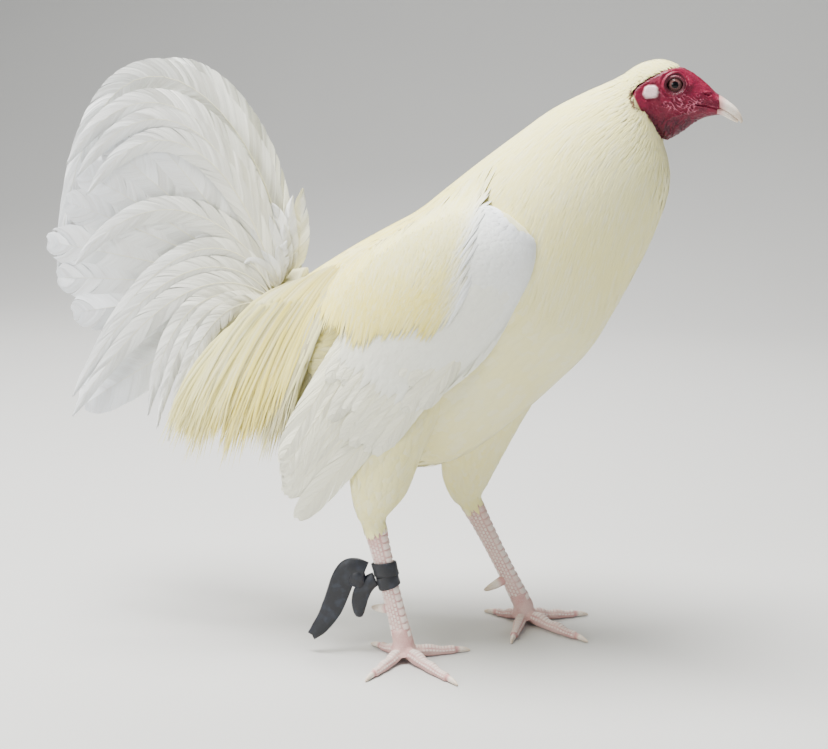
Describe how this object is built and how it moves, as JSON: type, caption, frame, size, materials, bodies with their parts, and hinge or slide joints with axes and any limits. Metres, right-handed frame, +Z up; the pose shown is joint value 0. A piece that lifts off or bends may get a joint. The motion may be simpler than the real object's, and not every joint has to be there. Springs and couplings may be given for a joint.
{
  "type": "old english game cock",
  "caption": "Life-size standing game cock with hackles, folded wings, arched tail, scaled legs and a leg strap; still model with no joints.",
  "frame": {"origin": "on the floor under the middle of the bird's box", "axes": "+X the way the bird faces, +Y its left, +Z up"},
  "size_m": [0.5602, 0.191, 0.4808],
  "materials": {
    "cream_plumage": "soft feather",
    "white_quills": "smooth feather",
    "red_face": "wrinkled bare skin",
    "eye": "wet gloss",
    "horn": "polished horn",
    "leg_scale": "scaled skin",
    "black_strap": "smooth black"
  },
  "bodies": {
    "root": {"neck": "cream_plumage", "torso": "cream_plumage", "rump": "cream_plumage", "thigh_right": "cream_plumage", "thigh_left": "cream_plumage", "tail": "white_quills", "wing_right": "white_quills", "wing_left": "white_quills", "head": "red_face", "eye_right": "eye", "eye_left": "eye", "bill_upper": "horn", "bill_lower": "horn", "strap_band": "black_strap", "strap_tail": "black_strap", "shank_right": "leg_scale", "foot_right": "leg_scale", "spur_right": "horn", "claw_right_1": "horn", "claw_right_2": "horn", "claw_right_3": "horn", "claw_right_4": "horn", "shank_left": "leg_scale", "foot_left": "leg_scale", "spur_left": "horn", "claw_left_1": "horn", "claw_left_2": "horn", "claw_left_3": "horn", "claw_left_4": "horn"}
  },
  "joints": []
}
